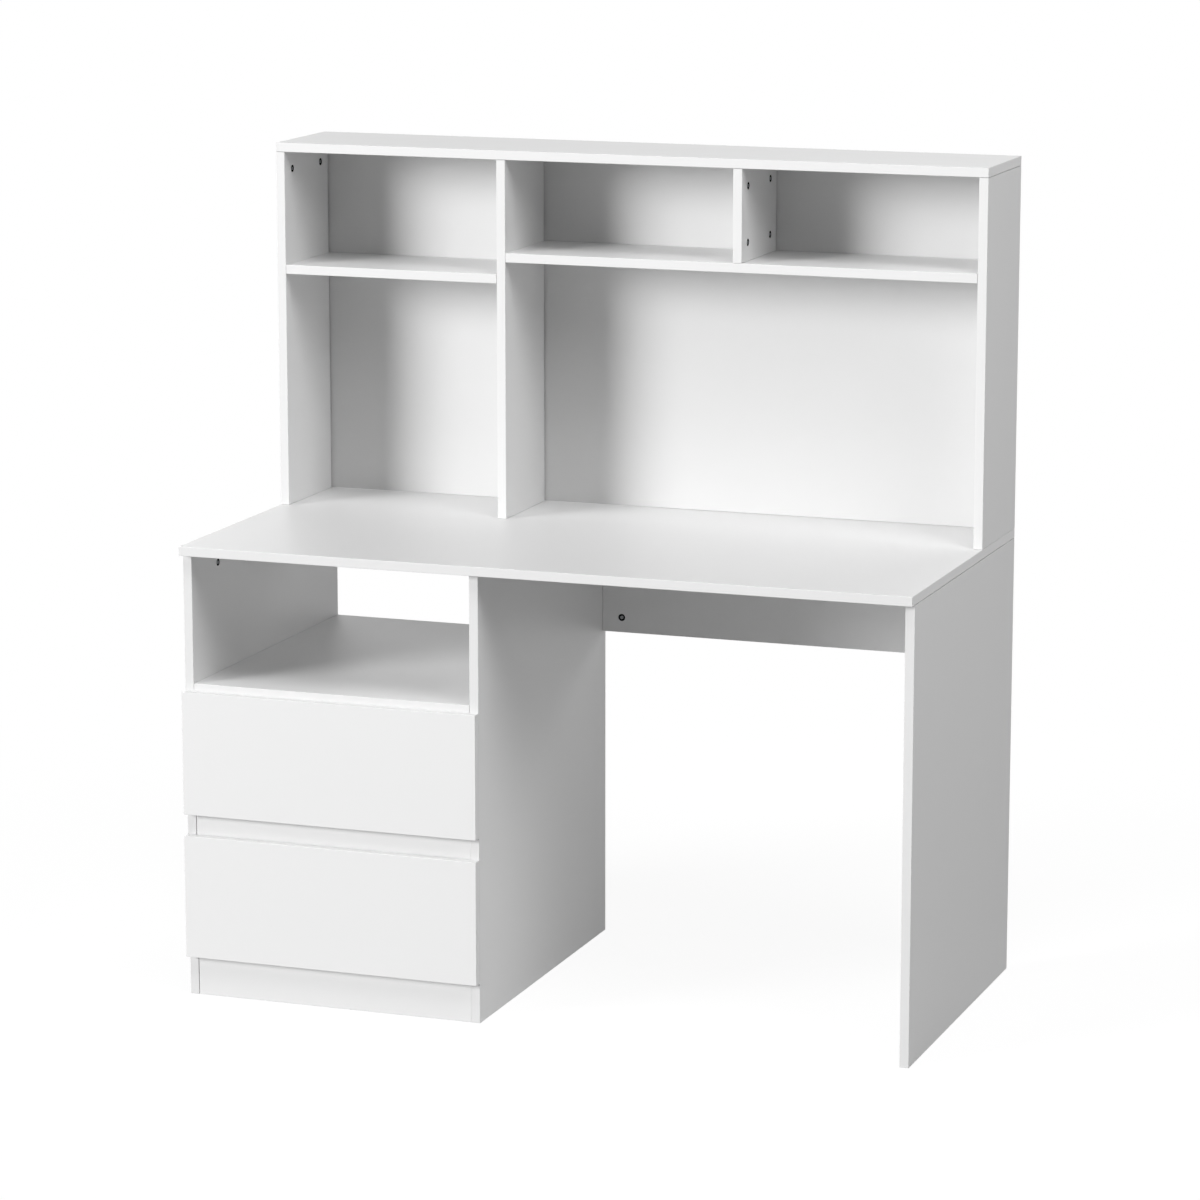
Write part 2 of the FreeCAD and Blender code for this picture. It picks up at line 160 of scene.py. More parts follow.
class StageSettings(bpy.types.PropertyGroup):
    """The camera, lamps and floor."""

    camera_place: FloatVectorProperty(
        name="Camera", description="Where the camera stands",
        default=(2.3867, -6.6426, 2.0521), subtype="TRANSLATION", unit="LENGTH")
    camera_turn: FloatProperty(
        name="Turn", description="How far the camera stands round to the desk's right",
        default=math.radians(19.778), subtype="ANGLE")
    camera_dip: FloatProperty(
        name="Dip", description="How far the camera looks down",
        default=math.radians(11.367), subtype="ANGLE")
    lens: FloatProperty(
        name="Lens", description="Focal length, in millimetres, for a 36 mm sensor", default=135.18)
    ambient: FloatProperty(
        name="Ambient", description="Strength of the even light from all round", default=0.02, min=0)
    floor_colour: hex_colour("Floor", "Grey that the floor throws back on the desk", "ABABAB")
    floor_size: FloatProperty(
        name="Floor size", description="Side of the square floor", default=16.0, unit="LENGTH")
    shadow_share: FloatProperty(
        name="Shadow", description="How much of the floor's own shading the camera sees",
        default=0.25, min=0, max=1, subtype="FACTOR")
    paper_light: FloatProperty(
        name="Paper light", description="How bright the lamps alone make the floor", default=0.34, min=0)
    fade_start: FloatProperty(
        name="Fade start", description="Where the floor's shadow starts to fade, from the middle",
        default=0.9, min=0, unit="LENGTH")
    fade_end: FloatProperty(
        name="Fade end", description="Where the floor's shadow has faded, from the middle",
        default=2.2, min=0, unit="LENGTH")


# Each lamp is a round soft box: turn to the right and rise, in degrees, then distance, diameter and watts.
LAMPS = {
    "key_lamp": (-42.4, 14, 14.0, 6.0, 2050),
    "right_lamp": (62, 39, 4.0, 2.0, 56),
    "top_lamp": (25, 68, 9.0, 4.4, 280),
    "rear_right_lamp": (166, 15, 5.0, 2.4, 82),
    "rear_left_lamp": (-135, 15, 5.0, 2.4, 28),
}
LAMP_AIM = Vector((0, 0, 0.7))
# A lamp straight behind the desk would mirror in the end boards, which the camera sees at a shallow angle.
DULL_LAMPS = ("rear_right_lamp",)
SENSOR_WIDTH = 36
# Places of a runner's screws, from its front end
SCREWS_ALONG = (37 * MM, 229 * MM, 421 * MM)
PINNED_SHEET = "pedestal_back"
PINS_ALONG = 6
SLOTS_ALONG = 5
# Shares of a screw's or pin's head diameter
SCREW_CONE = 0.5
SCREW_SHANK = 0.5
PIN_RISE = 0.06
PIN_TOP = 0.72
PIN_SHANK = 0.3
PIN_LENGTH = 3.0
# Where a screw's shank starts inside its head, as a share of the head's depth
SHANK_START = 0.25
# Length of a cam's boss, as a share of the ring's depth round it
BOSS_LENGTH = 1.5
# Depth of the runners' slot cutters, in thicknesses of the steel
SLOT_CUT = 4
# Where the middle of a roller's rounded edge lies, as a share of its radius
ROUND_MIDDLE = 0.3
SHARP_BEND = math.radians(40)
SMOOTH_ANGLE = math.radians(35)
# Flat sides that stand for each round form
BOSS_SIDES = 32
DRUM_SIDES = 40
MOUTH_SIDES = 48
SCREW_HEAD_SIDES = 28
SCREW_SHANK_SIDES = 20
PIN_HEAD_SIDES = 20
PIN_SHANK_SIDES = 12
SLOT_END_SIDES = 24
ROLLER_SIDES = 48


def add_node(tree, kind, inputs=None, **settings):
    """Adds a node, sets its properties, and sets or links each of its inputs."""
    node = tree.nodes.new(kind)
    for name, value in settings.items():
        setattr(node, name, value)
    for key, value in (inputs or {}).items():
        for one in value if isinstance(value, list) else [value]:
            if isinstance(one, bpy.types.NodeSocket):
                tree.links.new(one, node.inputs[key])
            else:
                node.inputs[key].default_value = one
    return node


def new_finish(name, **constants):
    """A material with one principled shader, whose constants are set on its own sockets."""
    material = bpy.data.materials.new(name)
    material.use_nodes = True
    shader = material.node_tree.nodes["Principled BSDF"]
    for socket, value in constants.items():
        shader.inputs[socket.replace("_", " ").title().replace("Ior", "IOR")].default_value = value
    return material, material.node_tree, shader


def add_relief(tree, shader, size, strength, depth, detail=2.0):
    """A fine bump on a shader, from noise with features of the given size."""
    place = add_node(tree, "ShaderNodeTexCoord").outputs["Object"]
    noise = add_node(tree, "ShaderNodeTexNoise", {"Vector": place, "Scale": 1 / size, "Detail": detail})
    bump = add_node(tree, "ShaderNodeBump", {
        "Height": noise.outputs["Fac"], "Strength": strength, "Distance": depth})
    tree.links.new(bump.outputs["Normal"], shader.inputs["Normal"])


def add_tones(tree, shader, colour, size, change, stretch=(1, 1, 1)):
    """Slow changes of tone round a colour, from noise with features of the given size."""
    place = add_node(tree, "ShaderNodeTexCoord").outputs["Object"]
    stretched = add_node(tree, "ShaderNodeMapping", {"Vector": place, "Scale": stretch})
    noise = add_node(tree, "ShaderNodeTexNoise", {
        "Vector": stretched.outputs["Vector"], "Scale": 1 / size, "Detail": 3.0})
    lighter = (*[min(1, part * (1 + change)) for part in colour], 1)
    darker = (*[part * (1 - change) for part in colour], 1)
    mixed = add_node(tree, "ShaderNodeMixRGB", {
        "Fac": noise.outputs["Fac"], "Color1": darker, "Color2": lighter})
    tree.links.new(mixed.outputs["Color"], shader.inputs["Base Color"])


def white_melamine(sizes):
    """Melamine paper pressed on particle board: a satin neutral white with a faint pearl texture.

    The real dimples are about half a millimetre apart, and are drawn coarser so that they show close up.
    """
    material, tree, shader = new_finish("white melamine on particle board", roughness=0.42, ior=1.5)
    add_tones(tree, shader, sizes.melamine_colour, 160 * MM, 0.006)
    add_relief(tree, shader, sizes.pearl_size, 0.15, 0.15 * MM)
    return material


def white_edge_band(sizes):
    """Extruded ABS band glued to the boards' edges: smoother and a little glossier than the faces."""
    material, tree, shader = new_finish("white ABS edge band", roughness=0.34, ior=1.53)
    add_tones(tree, shader, sizes.band_colour, 90 * MM, 0.006)
    add_relief(tree, shader, 1.2 * MM, 0.03, 0.05 * MM)
    return material


def lacquered_hardboard(sizes):
    """Thin hardboard with a rolled white lacquer: flat, with a soft peel from the roller."""
    material, tree, shader = new_finish("white lacquered hardboard", roughness=0.5, ior=1.48)
    add_tones(tree, shader, sizes.sheet_colour, 120 * MM, 0.008)
    add_relief(tree, shader, 4 * MM, 0.08, 0.15 * MM)
    return material


def die_cast_zinc(sizes):
    """Zinc die casting on the cams' bosses: a pale dull metal with a grainy skin, the lit copy of the zinc
    whose drums are painted dark as shade.
    """
    material, tree, shader = new_finish("zinc die casting", metallic=1.0, roughness=0.5)
    add_tones(tree, shader, sizes.zinc_colour, 1.5 * MM, 0.12)
    add_relief(tree, shader, 0.6 * MM, 0.25, 0.05 * MM)
    return material


def zinc_painted_with_shade(sizes):
    """Zinc casting painted nearly black as the shade in the ring round a cam's boss: dull and grainy."""
    material, tree, shader = new_finish("zinc casting painted with shade", metallic=1.0, roughness=0.6)
    add_tones(tree, shader, sizes.drum_shade_colour, 1.5 * MM, 0.15)
    add_relief(tree, shader, 0.6 * MM, 0.25, 0.05 * MM)
    return material


def plated_steel(sizes):
    """Steel with a bright zinc plating: pale, slightly cloudy metal."""
    material, tree, shader = new_finish("zinc plated steel", metallic=1.0, roughness=0.3)
    add_tones(tree, shader, sizes.plated_colour, 3 * MM, 0.08)
    add_relief(tree, shader, 0.8 * MM, 0.12, 0.03 * MM)
    return material


def plain_beech(sizes):
    """Turned beech: pale brown with short darker flecks along the grain."""
    material, tree, shader = new_finish("plain beech", roughness=0.6, ior=1.45)
    add_tones(tree, shader, sizes.beech_colour, 2 * MM, 0.18, stretch=(0.2, 1, 1))
    add_relief(tree, shader, 0.8 * MM, 0.2, 0.05 * MM)
    return material


def epoxy_coated_steel(sizes):
    """Rolled steel with a baked epoxy coat: off-white, half glossy, with the peel of a powder coat."""
    material, tree, shader = new_finish("white epoxy coated steel", roughness=0.32, ior=1.5)
    add_tones(tree, shader, sizes.coat_colour, 30 * MM, 0.01)
    add_relief(tree, shader, 1.6 * MM, 0.12, 0.1 * MM)
    return material


def natural_nylon(sizes):
    """Moulded nylon: warm white, waxy, with light passing a little way into it."""
    material, tree, shader = new_finish(
        "natural nylon", roughness=0.38, ior=1.53, subsurface_weight=0.15, subsurface_scale=2 * MM)
    add_tones(tree, shader, sizes.nylon_colour, 6 * MM, 0.02)
    add_relief(tree, shader, 1.2 * MM, 0.08, 0.05 * MM)
    return material


def add_piece(name, mesh, body, slot, *nodes):
    """A finished piece that rides on a body and stands for CAD nodes; its slot is not used."""
    piece = bpy.data.objects.new(name, mesh)
    bpy.context.scene.collection.objects.link(piece)
    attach(piece, body)
    if nodes:
        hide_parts(*nodes)
    return piece


def merged_copy(node):
    """The CAD node's mesh as one closed shape with whole flat faces."""
    shape = bmesh.new()
    shape.from_mesh(frame["nodes"][node].data)
    bmesh.ops.remove_doubles(shape, verts=shape.verts, dist=MERGE)
    bmesh.ops.dissolve_limit(shape, angle_limit=FLAT_ANGLE, verts=shape.verts, edges=shape.edges)
    return shape


def finished_mesh(shape, name, finishes):
    """A mesh from a shape that is no longer needed, with its materials."""
    mesh = bpy.data.meshes.new(name)
    shape.to_mesh(mesh)
    shape.free()
    for material in finishes:
        mesh.materials.append(material)
    return mesh


def outer_sides(points, low, high):
    """The sides of a box that all the points lie on, as (axis, 0 or 1)."""
    return [
        (axis, end)
        for axis in range(3)
        for end, limit in enumerate((low[axis], high[axis]))
        if all(abs(point[axis] - limit) < TOUCH for point in points)
    ]


def thin_axis(low, high):
    """The axis along which a board is thinnest."""
    return min(range(3), key=lambda axis: high[axis] - low[axis])


def butted_ends(node):
    """The ends of a board that stand against another board's face, as (axis, 0 or 1)."""
    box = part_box(node)
    thin = thin_axis(*box)
    others = [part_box(name) for name in nodes_in("white_board") if name != node]
    ends = []
    for axis in range(3):
        across = [other for other in range(3) if other != axis]
        for end in (0, 1):
            meets = any(
                abs(other[1 - end][axis] - box[end][axis]) < TOUCH
                and all(min(other[1][i], box[1][i]) - max(other[0][i], box[0][i]) > TOUCH for i in across)
                for other in others
            )
            if axis != thin and meets:
                ends.append((axis, end))
    return ends


def shown_side(node):
    """The side of a grooved thin sheet that shows inside: its front, or the top of a lying one."""
    axis = thin_axis(*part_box(node))
    return [(axis, 1 if axis == 2 else 0)]


def open_grooves(shape, low, high, lip):
    """Moves the front wall of each groove that holds a back sheet forward, so that a gap shows."""
    fronts = [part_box(node)[0].y for node in nodes_in("white_sheet") if thin_axis(*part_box(node)) == 1]
    for vertex in shape.verts:
        inside = low.y + TOUCH < vertex.co.y < high.y - TOUCH
        if inside and any(abs(vertex.co.y - front) < GROOVE_FIT for front in fronts):
            vertex.co.y -= lip


def eased_board(shape, node, radius, finishes, seam, drawn_in):
    """A flat board from its copied shape, with its outer edges rounded and the last finish round its rim.

    The drawn-in sides stand back by the width of a seam, which then shows as a thin dark line, and
    their edges stay sharp.
    """
    low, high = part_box(node)
    thin = thin_axis(low, high)
    for axis, end in drawn_in:
        limit = (low, high)[end]
        moved = limit[axis] + (seam if end == 0 else -seam)
        for vertex in shape.verts:
            if abs(vertex.co[axis] - limit[axis]) < TOUCH:
                vertex.co[axis] = moved
        limit[axis] = moved
    rim = []
    for edge in shape.edges:
        sides = outer_sides([vertex.co for vertex in edge.verts], low, high)
        if len(sides) > 1 and not any(side in drawn_in for side in sides):
            rim.append(edge)
    bmesh.ops.bevel(shape, geom=rim, offset=radius, segments=3, profile=0.5, affect="EDGES")
    for face in shape.faces:
        centre = face.calc_center_median()
        at_rim = any(
            min(centre[axis] - low[axis], high[axis] - centre[axis]) < radius
            for axis in range(3) if axis != thin
        )
        if at_rim and abs(face.normal[thin]) < FACING:
            face.material_index = len(finishes) - 1
    return finished_mesh(shape, node, finishes)


def drawer_web(node, inward):
    """Where the upright web of a drawer's runner is, along X: at the outside of the drawer's side."""
    low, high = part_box(node.replace("_runner", "_side"))
    return low.x if inward > 0 else high.x


def solids_of(node):
    """The separate solids of a CAD node, each as a list of points."""
    shape = merged_copy(node)
    left = set(shape.verts)
    solids = []
    for start in shape.verts:
        if start not in left:
            continue
        left.remove(start)
        found = [start]
        for vertex in found:
            for edge in vertex.link_edges:
                other = edge.other_vert(vertex)
                if other in left:
                    left.remove(other)
                    found.append(other)
        solids.append([vertex.co.copy() for vertex in found])
    shape.free()
    return solids


def limits(points):
    """Lowest and highest corner round some points."""
    return (Vector([min(point[axis] for point in points) for axis in range(3)]),
            Vector([max(point[axis] for point in points) for axis in range(3)]))


def cam_places(node):
    """Where each cam lock of a node shows on its board: the middle of its face and the way it faces."""
    boards = [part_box(name) for name in nodes_in("white_board")]
    places = []
    for points in solids_of(node):
        low, high = limits(points)
        middle = (low + high) / 2
        for board_low, board_high in boards:
            if not all(board_low[i] < middle[i] < board_high[i] for i in range(3)):
                continue
            thin = thin_axis(board_low, board_high)
            faces_up = board_high[thin] - high[thin] < low[thin] - board_low[thin]
            facing = Vector([0, 0, 0])
            facing[thin] = 1 if faces_up else -1
            middle[thin] = high[thin] if faces_up else low[thin]
            places.append((middle, facing))
    return places


def screw_places(node):
    """Where each screw's head shows: the middle of its top and the way it faces."""
    places = []
    for points in solids_of(node):
        low, high = limits(points)
        along = max(range(3), key=lambda axis: high[axis] - low[axis])
        across = (along + 1) % 3
        middle = (low + high) / 2
        spread = {}
        for end, limit in ((-1, low[along]), (1, high[along])):
            spread[end] = max(
                abs(point[across] - middle[across])
                for point in points if abs(point[along] - limit) < TOUCH
            )
        end = max(spread, key=spread.get)
        facing = Vector([0, 0, 0])
        facing[along] = end
        middle[along] = high[along] if end > 0 else low[along]
        places.append((middle, facing))
    return places


def new_tree(name, sizes, places=()):
    """An empty geometry tree with a named input for each size and place, and its input node."""
    tree = bpy.data.node_groups.new(name, "GeometryNodeTree")
    tree.interface.new_socket("Geometry", in_out="INPUT", socket_type="NodeSocketGeometry")
    for size in sizes:
        tree.interface.new_socket(size, in_out="INPUT", socket_type="NodeSocketFloat")
    for place in places:
        tree.interface.new_socket(place, in_out="INPUT", socket_type="NodeSocketVector")
    tree.interface.new_socket("Material", in_out="INPUT", socket_type="NodeSocketMaterial")
    tree.interface.new_socket("Geometry", in_out="OUTPUT", socket_type="NodeSocketGeometry")
    return tree, add_node(tree, "NodeGroupInput").outputs


def finish_tree(tree, given, part):
    """Sets a part on each point, facing the way that the point's attribute says, as one real mesh."""
    facing = add_node(tree, "GeometryNodeInputNamedAttribute", {"Name": "facing"}, data_type="FLOAT_VECTOR")
    turn = add_node(tree, "FunctionNodeAlignRotationToVector", {
        "Vector": facing.outputs["Attribute"]}, axis="Z")
    placed = add_node(tree, "GeometryNodeInstanceOnPoints", {
        "Points": given["Geometry"], "Instance": part, "Rotation": turn.outputs["Rotation"]})
    real = add_node(tree, "GeometryNodeRealizeInstances", {"Geometry": placed.outputs["Instances"]})
    dressed = add_node(tree, "GeometryNodeSetMaterial", {
        "Geometry": real.outputs["Geometry"], "Material": given["Material"]})
    add_node(tree, "NodeGroupOutput", {"Geometry": dressed.outputs["Geometry"]})


def cut_cross(tree, given, solid):
    """Cuts a cross recess into the top of a solid, at the height 0."""
    twice_deep = add_node(tree, "ShaderNodeMath", {0: given["Cross depth"], 1: 2.0}, operation="MULTIPLY")
    arms = []
    for x, y in (("Cross length", "Cross width"), ("Cross width", "Cross length")):
        size = add_node(tree, "ShaderNodeCombineXYZ", {
            "X": given[x], "Y": given[y], "Z": twice_deep.outputs["Value"]})
        arms.append(add_node(tree, "GeometryNodeMeshCube", {"Size": size.outputs["Vector"]}).outputs["Mesh"])
    cross = add_node(tree, "GeometryNodeMeshBoolean", {"Mesh 2": arms}, operation="UNION", solver="MANIFOLD")
    turned = add_node(tree, "GeometryNodeTransform", {
        "Geometry": cross.outputs["Mesh"], "Rotation": (0, 0, math.radians(45))})
    cut = add_node(tree, "GeometryNodeMeshBoolean", {
        "Mesh 1": solid, "Mesh 2": turned.outputs["Geometry"]}, operation="DIFFERENCE", solver="MANIFOLD")
    return cut.outputs["Mesh"]


def standing(tree, kind, radii, top, depth, sides):
    """A cylinder or cone whose top is at the given height, from sockets or numbers."""
    half = add_node(tree, "ShaderNodeMath", {0: depth, 1: 0.5}, operation="MULTIPLY")
    drop = half.outputs["Value"] if kind == "GeometryNodeMeshCylinder" else depth
    height = add_node(tree, "ShaderNodeMath", {0: top, 1: drop}, operation="SUBTRACT")
    place = add_node(tree, "ShaderNodeCombineXYZ", {"Z": height.outputs["Value"]})
    solid = add_node(tree, kind, {"Vertices": sides, "Depth": depth, **radii})
    moved = add_node(tree, "GeometryNodeTransform", {
        "Geometry": solid.outputs["Mesh"], "Translation": place.outputs["Vector"]})
    return moved.outputs["Geometry"]


def boss_tree():
    """The boss in the middle of a cam lock, with its cross recess."""
    sizes = ("Boss", "Top", "Depth", "Cross length", "Cross width", "Cross depth")
    tree, given = new_tree("cam bosses", sizes)
    radius = add_node(tree, "ShaderNodeMath", {0: given["Boss"], 1: 0.5}, operation="MULTIPLY")
    boss = standing(tree, "GeometryNodeMeshCylinder", {"Radius": radius.outputs["Value"]},
                    given["Top"], given["Depth"], BOSS_SIDES)
    finish_tree(tree, given, cut_cross(tree, given, boss))
    return tree


def drum_tree():
    """The drum of a cam lock: a cup whose thin wall stands round the boss."""
    tree, given = new_tree("cam drums", ("Diameter", "Top", "Depth", "Wall", "Groove"))
    radius = add_node(tree, "ShaderNodeMath", {0: given["Diameter"], 1: 0.5}, operation="MULTIPLY")
    inner = add_node(tree, "ShaderNodeMath", {
        0: radius.outputs["Value"], 1: given["Wall"]}, operation="SUBTRACT")
    twice_deep = add_node(tree, "ShaderNodeMath", {0: given["Groove"], 1: 2.0}, operation="MULTIPLY")
    drum = standing(tree, "GeometryNodeMeshCylinder", {"Radius": radius.outputs["Value"]},
                    given["Top"], given["Depth"], DRUM_SIDES)
    hollow = standing(tree, "GeometryNodeMeshCylinder", {"Radius": inner.outputs["Value"]},
                      given["Groove"], twice_deep.outputs["Value"], DRUM_SIDES)
    cup = add_node(tree, "GeometryNodeMeshBoolean", {
        "Mesh 1": drum, "Mesh 2": hollow}, operation="DIFFERENCE", solver="MANIFOLD")
    finish_tree(tree, given, cup.outputs["Mesh"])
    return tree


def screw_tree():
    """A countersunk screw with a cross recess."""
    sizes = ("Head", "Head depth", "Shank", "Length", "Cross length", "Cross width", "Cross depth")
    tree, given = new_tree("countersunk screws", sizes)
    head_radius = add_node(tree, "ShaderNodeMath", {0: given["Head"], 1: 0.5}, operation="MULTIPLY")
    shank_radius = add_node(tree, "ShaderNodeMath", {0: given["Shank"], 1: 0.5}, operation="MULTIPLY")
    lip = add_node(tree, "ShaderNodeMath", {0: given["Head depth"], 1: SHANK_START}, operation="MULTIPLY")
    head = standing(tree, "GeometryNodeMeshCone", {
        "Radius Top": head_radius.outputs["Value"], "Radius Bottom": shank_radius.outputs["Value"]},
        0.0, given["Head depth"], SCREW_HEAD_SIDES)
    below = add_node(tree, "ShaderNodeMath", {0: 0.0, 1: lip.outputs["Value"]}, operation="SUBTRACT")
    shank_depth = add_node(tree, "ShaderNodeMath", {0: given["Length"], 1: lip.outputs["Value"]},
                           operation="SUBTRACT")
    shank = standing(tree, "GeometryNodeMeshCylinder", {"Radius": shank_radius.outputs["Value"]},
                     below.outputs["Value"], shank_depth.outputs["Value"], SCREW_SHANK_SIDES)
    whole = add_node(tree, "GeometryNodeMeshBoolean", {"Mesh 2": [head, shank]},
                     operation="UNION", solver="MANIFOLD")
    finish_tree(tree, given, cut_cross(tree, given, whole.outputs["Mesh"]))
    return tree


def mouth_tree():
    """The round mouth of a bore in a board's face: a thin ring that stands a hair proud of the face."""
    tree, given = new_tree("bore mouths", ("Bore", "Rim", "Top", "Depth"))
    inner = add_node(tree, "ShaderNodeMath", {0: given["Bore"], 1: 0.5}, operation="MULTIPLY")
    outer = add_node(tree, "ShaderNodeMath", {0: inner.outputs["Value"], 1: given["Rim"]}, operation="ADD")
    through = add_node(tree, "ShaderNodeMath", {0: given["Depth"], 1: 3.0}, operation="MULTIPLY")
    disc = standing(tree, "GeometryNodeMeshCylinder", {"Radius": outer.outputs["Value"]},
                    given["Top"], given["Depth"], MOUTH_SIDES)
    hole = standing(tree, "GeometryNodeMeshCylinder", {"Radius": inner.outputs["Value"]},
                    given["Depth"], through.outputs["Value"], MOUTH_SIDES)
    ring = add_node(tree, "GeometryNodeMeshBoolean", {
        "Mesh 1": disc, "Mesh 2": hole}, operation="DIFFERENCE", solver="MANIFOLD")
    finish_tree(tree, given, ring.outputs["Mesh"])
    return tree


def pin_tree():
    """A flat-headed pin: a low chamfered head on a thin shank."""
    tree, given = new_tree("panel pins", ("Head", "Head depth", "Shank", "Length"))
    head_radius = add_node(tree, "ShaderNodeMath", {0: given["Head"], 1: 0.5}, operation="MULTIPLY")
    top_radius = add_node(tree, "ShaderNodeMath", {0: given["Head"], 1: PIN_TOP / 2}, operation="MULTIPLY")
    shank_radius = add_node(tree, "ShaderNodeMath", {0: given["Shank"], 1: 0.5}, operation="MULTIPLY")
    head = standing(tree, "GeometryNodeMeshCone", {
        "Radius Top": top_radius.outputs["Value"], "Radius Bottom": head_radius.outputs["Value"]},
        given["Head depth"], given["Head depth"], PIN_HEAD_SIDES)
    shank = standing(tree, "GeometryNodeMeshCylinder", {"Radius": shank_radius.outputs["Value"]},
                     given["Head depth"], given["Length"], PIN_SHANK_SIDES)
    whole = add_node(tree, "GeometryNodeMeshBoolean", {"Mesh 2": [head, shank]},
                     operation="UNION", solver="MANIFOLD")
    finish_tree(tree, given, whole.outputs["Mesh"])
    return tree


def slot_tree():
    """A runner with a row of oblong slots cut through its web, along Y."""
    tree, given = new_tree("slotted runner", ("Slot length", "Slot width", "Pitch", "Cut"), ("Start",))
    radius = add_node(tree, "ShaderNodeMath", {0: given["Slot width"], 1: 0.5}, operation="MULTIPLY")
    straight = add_node(tree, "ShaderNodeMath", {0: given["Slot length"], 1: given["Slot width"]},
                        operation="SUBTRACT")
    size = add_node(tree, "ShaderNodeCombineXYZ", {
        "X": given["Slot width"], "Y": straight.outputs["Value"], "Z": given["Cut"]})
    parts = [add_node(tree, "GeometryNodeMeshCube", {"Size": size.outputs["Vector"]}).outputs["Mesh"]]
    for side in (-0.5, 0.5):
        shift = add_node(tree, "ShaderNodeMath", {0: straight.outputs["Value"], 1: side},
                         operation="MULTIPLY")
        place = add_node(tree, "ShaderNodeCombineXYZ", {"Y": shift.outputs["Value"]})
        end = add_node(tree, "GeometryNodeMeshCylinder", {
            "Vertices": SLOT_END_SIDES, "Radius": radius.outputs["Value"], "Depth": given["Cut"]})
        moved = add_node(tree, "GeometryNodeTransform", {
            "Geometry": end.outputs["Mesh"], "Translation": place.outputs["Vector"]})
        parts.append(moved.outputs["Geometry"])
    slot = add_node(tree, "GeometryNodeMeshBoolean", {"Mesh 2": parts}, operation="UNION", solver="MANIFOLD")
    laid = add_node(tree, "GeometryNodeTransform", {
        "Geometry": slot.outputs["Mesh"], "Rotation": (0, math.pi / 2, 0)})
    step = add_node(tree, "ShaderNodeCombineXYZ", {"Y": given["Pitch"]})
    line = add_node(tree, "GeometryNodeMeshLine", {
        "Count": SLOTS_ALONG, "Start Location": given["Start"], "Offset": step.outputs["Vector"]})
    row = add_node(tree, "GeometryNodeInstanceOnPoints", {
        "Points": line.outputs["Mesh"], "Instance": laid.outputs["Geometry"]})
    real = add_node(tree, "GeometryNodeRealizeInstances", {"Geometry": row.outputs["Instances"]})
    cut = add_node(tree, "GeometryNodeMeshBoolean", {
        "Mesh 1": given["Geometry"], "Mesh 2": real.outputs["Geometry"]},
        operation="DIFFERENCE", solver="MANIFOLD")
    dressed = add_node(tree, "GeometryNodeSetMaterial", {
        "Geometry": cut.outputs["Mesh"], "Material": given["Material"]})
    add_node(tree, "NodeGroupOutput", {"Geometry": dressed.outputs["Geometry"]})
    return tree


def placed_mesh(name, tree, sizes, material, places):
    """One plain mesh of a tree's part at each place."""
    points = bpy.data.meshes.new(name)
    points.from_pydata([place for place, _ in places], [], [])
    facing = points.attributes.new("facing", "FLOAT_VECTOR", "POINT")
    facing.data.foreach_set("vector", [part for _, way in places for part in way])
    return tree_mesh(name, tree, sizes, material, points)


def tree_mesh(name, tree, sizes, material, source):
    """The plain mesh that a tree makes from a source mesh."""
    holder = bpy.data.objects.new(name + "_source", source)
    bpy.context.scene.collection.objects.link(holder)
    modifier = holder.modifiers.new("fittings", "NODES")
    modifier.node_group = tree
    sockets = {item.name: item.identifier for item in tree.interface.items_tree if item.in_out == "INPUT"}
    for size, value in sizes.items():
        modifier[sockets[size]] = value
    modifier[sockets["Material"]] = material
    graph = bpy.context.evaluated_depsgraph_get()
    mesh = bpy.data.meshes.new_from_object(holder.evaluated_get(graph))
    mesh.name = name
    holder.modifiers.remove(modifier)
    bpy.data.objects.remove(holder)
    if not mesh.polygons:
        raise RuntimeError(f"{name} has no faces")
    return mesh


def cross_sizes(sizes):
    """The sizes of a cross recess."""
    return {"Cross length": sizes.cross_length, "Cross width": sizes.cross_width,
            "Cross depth": sizes.cross_depth}


def screw_sizes(head, length):
    """The sizes of a countersunk screw with the given head and length."""
    return {"Head": head, "Head depth": head * SCREW_CONE, "Shank": head * SCREW_SHANK, "Length": length}


class DESK_OT_boards(bpy.types.Operator):
    """Ease the edges of the boards and give them their melamine faces and edge bands"""

    bl_idname = "desk.boards"
    bl_label = "Boards"

    def execute(self, context):
        sizes = context.scene.desk_boards
        finishes = [white_melamine(sizes), white_edge_band(sizes)]
        for node in nodes_in("white_board"):
            shape = merged_copy(node)
            open_grooves(shape, *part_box(node), sizes.groove_lip)
            mesh = eased_board(shape, node, sizes.edge_radius, finishes, sizes.seam, butted_ends(node))
            add_piece(node + "_eased", mesh, body_of[node], "white_board", node)
        return {"FINISHED"}


class DESK_OT_sheets(bpy.types.Operator):
    """Ease the edges of the thin sheets and lacquer them"""

    bl_idname = "desk.sheets"
    bl_label = "Thin sheets"

    def execute(self, context):
        sizes = context.scene.desk_boards
        finishes = [lacquered_hardboard(sizes)]
        for node in nodes_in("white_sheet"):
            drawn_in = [] if node == PINNED_SHEET else shown_side(node)
            mesh = eased_board(merged_copy(node), node, sizes.sheet_radius, finishes,
                               sizes.sheet_set_back, drawn_in)
            add_piece(node + "_eased", mesh, body_of[node], "white_sheet", node)
        return {"FINISHED"}


